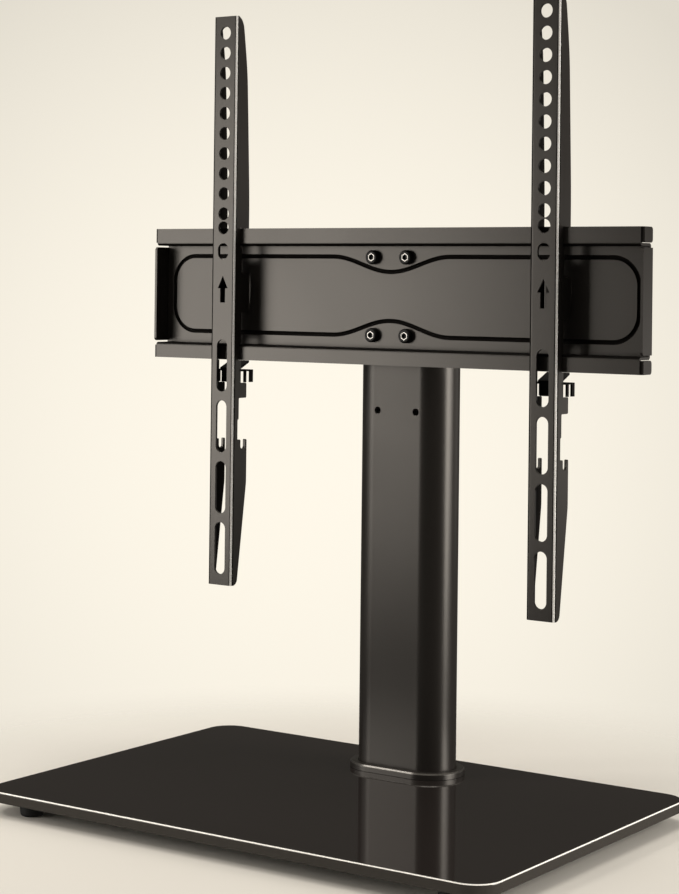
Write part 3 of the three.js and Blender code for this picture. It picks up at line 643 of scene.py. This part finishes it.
# Carrier plate: a pressed pan with two rails turned outwards, tabs, end flanges and a bead
carrier = {
    "halfWidth": 216, "top": 426.3, "bottom": 324.3, "sheet": 2, "bend": 0.3,
    "lipFrontY": 51, "panelFrontY": 65, "upperLip": 13.3, "lowerLip": 12,
    "reliefGap": 1.2, "tabRounding": 2.4,
    "beadHalfLength": 206, "beadHalfHeight": 29.7, "beadCorner": 20, "cornerSteps": 12,
    "waistHalfWidth": 52, "waistDepth": 11.4, "waistSteps": 28,
    "ridgeRadius": 1.8, "ridgeInset": 0.2, "beadRadius": 1.75, "beadInset": 0.4, "beadRings": 3,
    "grooveSpan": (0.02, 2.3), "grooveHalfLength": 211,  # behind the panel's front, and from the middle
    "boltXs": (-15, 15), "boltHeights": (404.5, 346.1), "boltHole": 3.4, "toolLength": 12,
}


def beadCurve(settings):
    halfLength, halfHeight = settings["beadHalfLength"], settings["beadHalfHeight"]
    corner, waist = settings["beadCorner"], settings["waistHalfWidth"]
    middleZ = (settings["top"] + settings["bottom"]) / 2
    cornerSteps = settings["cornerSteps"]
    points = []
    for step in range(cornerSteps + 1):
        angle = quarterTurn * step / cornerSteps
        inward, down = corner * (1 - math.cos(angle)), corner * (1 - math.sin(angle))
        points.append((halfLength - inward, halfHeight - down))
    for step in range(settings["waistSteps"] + 1):
        share = 1 - 2 * step / settings["waistSteps"]
        dip = settings["waistDepth"] * (1 + math.cos(math.pi * share)) / 2
        points.append((waist * share, halfHeight - dip))
    points += [(-x, z) for x, z in reversed(points[:cornerSteps + 1])]
    points += [(-x, -z) for x, z in points]
    return [(x, middleZ + z) for x, z in points]


# A round bar that follows the bead, as the tool that presses it
def beadBar(settings, radius, y):
    curve = bpy.data.curves.new("bead", "CURVE")
    curve.dimensions = "3D"
    curve.bevel_depth, curve.bevel_resolution = radius, settings["beadRings"]
    points = beadCurve(settings)
    spline = curve.splines.new("POLY")
    spline.points.add(len(points) - 1)
    for point, (x, z) in zip(spline.points, points):
        point.co = (x, y, z, 1)
    spline.use_cyclic_u = True
    made = bpy.data.objects.new("bead", curve)
    bpy.context.scene.collection.objects.link(made)
    bpy.context.view_layer.update()
    graph = bpy.context.evaluated_depsgraph_get()
    solid = bpy.data.objects.new("beadTool", bpy.data.meshes.new_from_object(made.evaluated_get(graph)))
    bpy.context.scene.collection.objects.link(solid)
    bpy.data.objects.remove(made)
    bpy.data.curves.remove(curve)
    return solid


def makeCarrier(settings):
    sheet, bend, half = settings["sheet"], settings["bend"], settings["halfWidth"]
    top, bottom = settings["top"], settings["bottom"]
    lipY, panelY = settings["lipFrontY"] + sheet / 2, settings["panelFrontY"] + sheet / 2
    upperShelf = top - settings["upperLip"] + sheet / 2
    lowerShelf = bottom + settings["lowerLip"] - sheet / 2
    inset = bend + sheet
    section = [(lipY, top), (lipY, upperShelf), (panelY, upperShelf),
               (panelY, lowerShelf), (lipY, lowerShelf), (lipY, bottom)]
    start = inset - half
    rails = foldedSheet([(start, y, z) for y, z in section], (-2 * start, 0, 0), sheet, bend)
    end = half - sheet / 2
    upperTab, lowerTab = settings["upperLip"] - sheet - bend, settings["lowerLip"] - sheet - bend
    tabLine = [(-end, panelY - sheet / 2), (-end, lipY), (end, lipY), (end, panelY - sheet / 2)]
    flangeLine = [(-end, lipY - sheet / 2), (-end, panelY), (end, panelY), (end, lipY - sheet / 2)]
    flangeLow = lowerShelf + sheet / 2 + settings["reliefGap"]
    flangeHigh = upperShelf - sheet / 2 - settings["reliefGap"]
    strips = [(tabLine, top - upperTab, upperTab), (tabLine, bottom, lowerTab),
              (flangeLine, flangeLow, flangeHigh - flangeLow)]
    rounding = settings["tabRounding"]
    others = [foldedSheet([(x, y, z) for x, y in line], (0, 0, height), sheet, bend, rounding)
              for line, z, height in strips]
    combine(rails, others, "UNION")
    backY = settings["panelFrontY"] + sheet
    combine(rails, [beadBar(settings, settings["ridgeRadius"], backY - settings["ridgeInset"])], "UNION")
    grooveY = settings["panelFrontY"] + settings["beadInset"]
    combine(rails, [beadBar(settings, settings["beadRadius"], grooveY)], "DIFFERENCE")
    tools = bmesh.new()
    for z in settings["boltHeights"]:
        for x in settings["boltXs"]:
            bar(tools, (x, backY, z), settings["boltHole"], "y", settings["toolLength"], facets["hole"])
    cutAway(rails, tools)

    middleZ = (top + bottom) / 2
    grooveStart, grooveEnd = settings["grooveSpan"]

    # Painted shade: the bead's groove, the folds at the ends and those between panel and lips take a
    # darker paint
    def isPaintedShade(face):
        across, back, up = face.normal
        behind = face.center.y / mm - settings["panelFrontY"]
        looksInward = up * (face.center.z / mm - middleZ) < 0
        atLip = behind < 0 and looksInward and abs(up) > lean["partly"] and abs(across) < lean["hardly"]
        nearBead = abs(face.center.x / mm) < settings["grooveHalfLength"]
        inGroove = nearBead and grooveStart < behind < grooveEnd and back < lean["little"]
        looksOut = back < -lean["barely"] and abs(up) < lean["hardly"]
        atEnd = looksOut and lean["barely"] < abs(across) < lean["straight"]
        return atLip or inGroove or atEnd

    # The end flange and the tabs that look to the right
    def isEndFace(face):
        return face.normal.x > lean["straight"] and face.center.x / mm > half - sheet / 2

    settle(rails, "pressed_carrier_plate", "stand", "paint", "carrier_plate", softness=0.2,
           edgeFinish="paintEdge", marked={"paintedShadePaint": isPaintedShade, "tubePaint": isEndFace})


makeCarrier(carrier)
bracket = {
    "halfWidth": 23, "low": 326.3, "high": 417.3, "frontY": 67.2, "backY": 74.8, "corner": 4,
    "screwRows": (375.3, 332.25), "screwHole": 4.4, "beadRelief": 0.6, "toolLength": 30,
}


def makeBracket(settings):
    side, low, high, frontY = (settings[name] for name in ("halfWidth", "low", "high", "frontY"))
    bm = bmesh.new()
    corners = fourCorners((0, (low + high) / 2), (side, (high - low) / 2), settings["corner"])
    prism(bm, corners, "y", frontY, settings["backY"])
    made = newObject("bracket", bm)
    relief = settings["beadRelief"]
    combine(made, [beadBar(carrier, carrier["ridgeRadius"] + relief, frontY - relief)], "DIFFERENCE")
    tools = bmesh.new()
    for z in carrier["boltHeights"]:
        for x in carrier["boltXs"]:
            bar(tools, (x, frontY, z), carrier["boltHole"], "y", settings["toolLength"], facets["hole"])
    for z in settings["screwRows"]:
        for x in columnTube["holeXs"]:
            bar(tools, (x, frontY, z), settings["screwHole"], "y", settings["toolLength"], facets["hole"])
    cutAway(made, tools)
    settle(made, "standoff_block", "stand", "paint", "standoff_bracket", softness=0.4,
           edgeFinish="paintEdge")


makeBracket(bracket)
print("carrier plate made")

# Screws: a spun head with a hexagonal socket, along +Z with the head's underside at zero
plateBolt = {
    "profile": [(0, -9.2), (2.6, -9.2), (3, -8.7), (3, 0), (5.1, 0), (5.4, 0.3), (5.4, 3.1), (5.25, 3.6),
                (4.9, 3.95), (4.65, 4.25), (4.4, 4.4), (4.25, 4.45), (0, 4.45)],
    "socket": 2.4, "socketDepth": 2.4, "rim": 3.2, "rimDepth": 0.3, "rimPlay": 0.1,
    "height": 4.45, "seatY": 64.8,
}
baseBolt = {
    "profile": [(0, -20.6), (2.6, -20.6), (3, -20.1), (3, 0), (5.2, 0), (5.6, 0.4), (5.6, 2.3),
                (5.3, 2.9), (4.7, 3.2), (0, 3.2)],
    "socket": 2.9, "socketDepth": 1.9, "height": 3.2, "seatZ": 4.5,
}
washer = {"outer": 8.5, "inner": 3.4, "low": 4.7, "high": 5.9, "rollWidth": 0.4, "rollHeight": 0.3}


def makeScrew(name, settings, place, finish, node, rimFinish=None):
    height = settings["height"]
    bm = bmesh.new()
    turned(bm, settings["profile"], Matrix.Identity(4))
    made = newObject(name, bm)
    tools = bmesh.new()
    bar(tools, (0, 0, height), settings["socket"], "z", 2 * settings["socketDepth"], facets["hexagon"])
    cutAway(made, tools)
    marked = None
    if rimFinish:
        tools = bmesh.new()
        bar(tools, (0, 0, height), settings["rim"], "z", 2 * settings["rimDepth"], facets["hexagon"])
        cutAway(made, tools)
        rimHeight = height - settings["rimDepth"]
        rim = {face.index for face in made.data.polygons
               if face.normal.z > lean["mostly"] and abs(face.center.z - rimHeight) < settings["rimPlay"]}
        marked = {rimFinish: lambda face: face.index in rim}
    made.data.transform(place)
    settle(made, name, "stand", finish, node, softness=0.12, marked=marked)


# A stamped ring, its lower outer edge rolled over
def makeWasher(name, settings, x, node):
    low, high, inner, outer = (settings[name] for name in ("low", "high", "inner", "outer"))
    rolled = [(outer - settings["rollWidth"], low), (outer, low + settings["rollHeight"])]
    bm = bmesh.new()
    turned(bm, [(inner, low), *rolled, (outer, high), (inner, high), (inner, low)],
           Matrix.Translation((x, oval["middleY"], 0)))
    settle(newObject(name, bm), name, "stand", "zinc", node, softness=0.1)


for row, z in zip(("upper", "lower"), carrier["boltHeights"]):
    for side, x in zip(("left", "right"), carrier["boltXs"]):
        place = Matrix.Translation((x, plateBolt["seatY"], z)) @ Matrix.Rotation(quarterTurn, 4, "X")
        name, node = f"{row}_{side}_socket_screw", f"{row}_{side}_plate_bolt"
        makeScrew(name, plateBolt, place, "bolt", node, "boltRim")
for side, x in zip(("left", "right"), glassPlate["boltXs"]):
    place = Matrix.Translation((x, oval["middleY"], baseBolt["seatZ"])) @ Matrix.Rotation(math.pi, 4, "X")
    makeScrew(f"{side}_foot_screw", baseBolt, place, "zinc", f"{side}_base_bolt")
    makeWasher(f"{side}_foot_washer", washer, x, f"{side}_base_washer")
print("screws made")

# Arms: a folded channel, its flanges trimmed to an outline, its web pierced
arm = {
    "frontY": 43.8, "top": 591, "length": 441.3, "width": 23.2, "sheet": 2, "bend": 0.7, "depth": 20,
    "middles": {"left": -142, "right": 142}, "overrun": 2, "toolLength": 8,
    # What pierces the web, as drops below the arm's top
    "firstHole": 13, "holePitch": 15.6, "holeCount": 10, "lastHole": 164.3, "holeRadius": 5,
    "shortSlot": (176.2, 12.6), "firstSlot": 251, "slotPitch": 47.2, "slotCount": 4, "slotLength": 40.4,
    "arrow": [(0, 201.6), (4.8, 211.2), (2.4, 211.2), (2.4, 222.3),
              (-2.4, 222.3), (-2.4, 211.2), (-4.8, 211.2)],
    # Depth behind the web's face, drop below the arm's top, rounding
    "outline": [
        (-2, -1), (2, -1), (2, 0, 0.4), (5.87, 2.47, 1.5), (8.37, 6.58, 2.2), (10.68, 21.37, 7),
        (13.71, 44.39, 10), (16.2, 101.93, 16), (17.8, 141.38, 12), (17.8, 173.3, 1.2), (9.8, 173.3, 1.2),
        (9.8, 164.4), (6.9, 164.4), (6.9, 178.7), (9, 178.7), (9, 199.5), (18.8, 201, 2.5),
        (18.8, 228.8, 1.2), (9, 230), (9, 254.4), (6.9, 254.4), (6.9, 267), (9.4, 267), (9.4, 284.6),
        (16.8, 284.6, 1.2), (16.8, 296.3, 1.2), (7.3, 296.3, 0.8), (7.3, 313, 0.8), (6, 313), (6, 328.5),
        (10, 328.5, 1.2), (10, 336, 2.5), (15.5, 336, 2.5), (15.5, 328.5, 1.0), (17.8, 328.5, 1.2),
        (17.8, 362, 2.5), (7, 441.3, 4.5), (-2, 441.3),
    ],
}


glintSpan = (0.45, 0.8)


# Both folds of a channel, which look forward and to the side
def isFold(face):
    across, back, up = face.normal
    looksOut = back < -lean["barely"] and abs(up) < lean["little"]
    return looksOut and lean["little"] < abs(across) < lean["straight"]


# The middle of its right-hand fold, which takes a pale colour as a painted highlight
def isGlint(face):
    return isFold(face) and glintSpan[0] < face.normal.x < glintSpan[1]


def inRow(first, pitch, count):
    return [first + pitch * step for step in range(count)]


def makeArm(side, settings):
    frontY, top, length, sheet = (settings[name] for name in ("frontY", "top", "length", "sheet"))
    half = settings["width"] / 2
    middleX, webY, openY = half - sheet / 2, frontY + sheet / 2, frontY + settings["depth"]
    line = [(-middleX, openY), (-middleX, webY), (middleX, webY), (middleX, openY)]
    made = foldedSheet([(x, y, top - length) for x, y in line], (0, 0, length), sheet, settings["bend"])
    trim = bmesh.new()
    corners = [(frontY + depth, top - drop, *rounding) for depth, drop, *rounding in settings["outline"]]
    prism(trim, corners, "x", -half - settings["overrun"], half + settings["overrun"])
    combine(made, [newObject("trim", trim)], "INTERSECT")
    reach, radius = settings["toolLength"], settings["holeRadius"]
    holes = inRow(settings["firstHole"], settings["holePitch"], settings["holeCount"])
    longSlots = inRow(settings["firstSlot"], settings["slotPitch"], settings["slotCount"])
    tools = bmesh.new()
    for drop in [*holes, settings["lastHole"]]:
        bar(tools, (0, webY, top - drop), radius, "y", reach)
    for drop, size in [settings["shortSlot"], *((drop, settings["slotLength"]) for drop in longSlots)]:
        slotBar(tools, (0, webY, top - drop - size / 2), radius, size, reach)
    arrow = [(x, top - drop) for x, drop in settings["arrow"]]
    prism(tools, arrow, "y", webY - reach / 2, webY + reach / 2)
    cutAway(made, tools)
    middle = settings["middles"][side]
    made.data.transform(Matrix.Translation((middle, 0, 0)))

    # Faces well behind the web that look into the channel
    def isInside(face):
        across, behind = face.center.x / mm - middle, face.center.y / mm - webY
        looksIn = face.normal.x * across < 0 and abs(face.normal.x) > lean["mostly"]
        return looksIn and behind > sheet * 3 / 4

    # Painted shade on the folds beside the glint and on the channel's inside; a painted highlight on the
    # glint
    marked = {"paintedShadePaint": lambda face: isFold(face) or isInside(face), "foldGlint": isGlint}
    settle(made, f"{side}_channel_arm", f"{side}_arm", "paint", f"{side}_arm", softness=0.3,
           edgeFinish="paintEdge", marked=marked)


for side in ("left", "right"):
    makeArm(side, arm)
print("arms made")

# Locks: a bridge over both flanges, a web and a sloping tongue between them, four posts outside
lock = {
    "frontY": 43.8, "top": 591, "half": 13.5, "postInner": 11.9, "webHalf": 7.7, "tongueHalf": 9.2,
    "low": 284.2, "high": 274.4, "front": 9.8, "sheet": 1.6, "bridge": 1.2,
    "posts": [(2.1, 4.4), (9.2, 12.9)],
    "reach": 13.2, "rise": 6.9,
}


def makeLock(side, settings):
    top, y = settings["top"], settings["frontY"]
    low, high, half, front = (settings[name] for name in ("low", "high", "half", "front"))
    back, underBridge = front + settings["sheet"], high + settings["bridge"]

    # A block down from the lock's top, its drops counted from the arm's top
    def slab(fromX, toX, fromDepth, toDepth, lowDrop):
        bm = bmesh.new()
        fromX, toX = sorted((fromX, toX))
        box(bm, (fromX, y + fromDepth, top - lowDrop), (toX, y + toDepth, top - high))
        return newObject("slab", bm)

    made = slab(-half, half, front, front + settings["posts"][-1][1], underBridge)
    others = [slab(-settings["webHalf"], settings["webHalf"], front, back, low)]
    tip, tipDrop = front + settings["reach"], high - settings["rise"]
    outline = [(front, underBridge), (front, high - settings["bridge"]), (tip, tipDrop),
               (tip, tipDrop + settings["sheet"]), (back, high), (back, underBridge)]
    tongue = bmesh.new()
    reach = settings["tongueHalf"]
    prism(tongue, [(y + depth, top - drop) for depth, drop in outline], "x", -reach, reach)
    others.append(newObject("tongue", tongue))
    for way in (-1, 1):
        for start, end in settings["posts"]:
            others.append(slab(way * settings["postInner"], way * half, front + start, front + end, low))
    combine(made, others, "UNION")
    made.data.transform(Matrix.Translation((arm["middles"][side], 0, 0)))
    settle(made, f"{side}_sliding_lock", f"{side}_lock", "plastic", f"{side}_lock", softness=0.2)


for side in ("left", "right"):
    makeLock(side, lock)

# The solids that stay as they are take a finish too
keptSolids = {
    "upper_gasket": "rubber", "column_top_cap": "plastic",
    "column_foot_plate": "zinc", "column_nut_strip": "zinc",
    "upper_left_bracket_screw": "zinc", "upper_right_bracket_screw": "zinc",
    "lower_left_bracket_screw": "zinc", "lower_right_bracket_screw": "zinc",
}
for node, finish in keptSolids.items():
    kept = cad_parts[node]
    kept.data.materials.clear()
    kept.data.materials.append(finishes[finish])
print("locks and inner parts made")

# Studio: a pale floor that fades into a pale world, and soft lamps; the floor's lengths are in metres
studio = {
    "floorColour": (0.762, 0.731, 0.671), "floorRadius": 4, "floorFacets": 96, "fadeSpan": (0.22, 0.52),
    # What the camera sees behind the floor: the backdrop, darker away from its brightest direction
    "backdrop": (1.005, 0.946, 0.822), "brightest": (-0.5795, 0.8117, -0.0735),
    "vignette": 8, "leastShare": 0.74,
    # What lights the stand, and what its gloss mirrors from level, below and above
    "fill": (0.26, 0.25, 0.235), "wall": 0.048, "ground": 0.03, "ceiling": 0.8,
    "ceilingSpan": (0.32, 0.9), "horizon": 0.05,
    "lampColour": (1, 0.955, 0.89),
}
lamps = {
    "softBox": {"place": (-870, -906, 335), "aim": (0, 60, 345), "size": (650, 640), "power": 6.2},
    "sidePanel": {"place": (1700, 560, 620), "aim": (0, 80, 400), "size": (1000, 1300), "power": 22},
    "sideStrip": {"place": (1500, 320, 230), "aim": (0, 80, 230), "size": (420, 760), "power": 6.7},
    "backPanel": {"place": (845, 1670, 210), "aim": (0, 80, 210), "size": (800, 400), "power": 0.6},
    "overhead": {"place": (-100, 200, 2300), "aim": (0, 60, 300), "size": (900, 900), "power": 18.5},
    "upperFront": {"place": (-967, -674, 1207), "aim": (0, 69, 22), "size": (360, 360), "power": 6.2},
    "leftFill": {"place": (-1410, -453, 360), "aim": (0, 60, 360), "size": (700, 700), "power": 1.0},
}


def makeFloor(settings):
    bm = bmesh.new()
    bmesh.ops.create_circle(bm, cap_ends=True, segments=settings["floorFacets"],
                            radius=settings["floorRadius"])
    made = newObject("studio_floor", bm)
    finish = bpy.data.materials.new("paleFloor")
    finish.use_nodes = True
    finish.node_tree.nodes.clear()
    wire = Wire(finish.node_tree)
    places = wire.node("ShaderNodeTexCoord", output="Object")
    away = wire.node("ShaderNodeVectorMath", {"operation": "LENGTH"}, {0: places}, output="Value")
    card = wire.node("ShaderNodeBsdfDiffuse", sockets={"Color": opaque(settings["floorColour"])})
    clear = wire.node("ShaderNodeBsdfTransparent")
    fade = away.rising(*settings["fadeSpan"])
    mixed = wire.node("ShaderNodeMixShader", sockets={0: fade, 1: card, 2: clear})
    last = finish.node_tree.nodes.new("ShaderNodeOutputMaterial")
    finish.node_tree.links.new(mixed.socket, last.inputs["Surface"])
    made.data.materials.append(finish)
    made.visible_glossy = False


def makeWorld(settings):
    world = bpy.data.worlds.new("studioWorld")
    bpy.context.scene.world = world
    world.use_nodes = True
    tree = world.node_tree
    wire = Wire(tree)
    rays = wire.node("ShaderNodeLightPath", output="Is Camera Ray")
    sharp = Wire(tree, rays.socket.node.outputs["Is Glossy Ray"])
    through = Wire(tree, rays.socket.node.outputs["Is Transmission Ray"])
    direction = wire.node("ShaderNodeTexCoord", output="Generated")
    height = wire.node("ShaderNodeSeparateXYZ", sockets={0: direction}, output=2)
    horizon, wall = settings["horizon"], settings["wall"]
    level = height.rising(*settings["ceilingSpan"]) * (settings["ceiling"] - wall) + wall
    level = (height * -1).rising(-horizon, horizon) * settings["ground"] + level
    sockets = {0: direction, 1: settings["brightest"]}
    near = wire.node("ShaderNodeVectorMath", {"operation": "DOT_PRODUCT"}, sockets, output="Value")
    share = near * settings["vignette"] + (1 - settings["vignette"])
    share = share.maths("MAXIMUM", share, settings["leastShare"])
    pale, mirrored = (wire.node("ShaderNodeVectorMath", {"operation": "SCALE"},
                                {0: settings["backdrop"], "Scale": scale}) for scale in (share, level))
    shown = wire.blend(sharp, opaque(settings["fill"]), mirrored)
    seen = wire.blend(rays + through, shown, pale)
    tree.links.new(seen.socket, tree.nodes["Background"].inputs["Color"])


def makeLamp(name, settings):
    data = bpy.data.lights.new(name, "AREA")
    data.shape, data.energy, data.color = "RECTANGLE", settings["power"], studio["lampColour"]
    data.size, data.size_y = (length * mm for length in settings["size"])
    made = bpy.data.objects.new(name, data)
    bpy.context.scene.collection.objects.link(made)
    place, aim = Vector(settings["place"]) * mm, Vector(settings["aim"]) * mm
    made.location = place
    made.rotation_euler = (aim - place).to_track_quat("-Z", "Y").to_euler()
    made.visible_camera = False


makeFloor(studio)
makeWorld(studio)
for name, settings in lamps.items():
    makeLamp(name, settings)
bpy.context.scene.view_settings.view_transform = "Standard"
print("studio made")
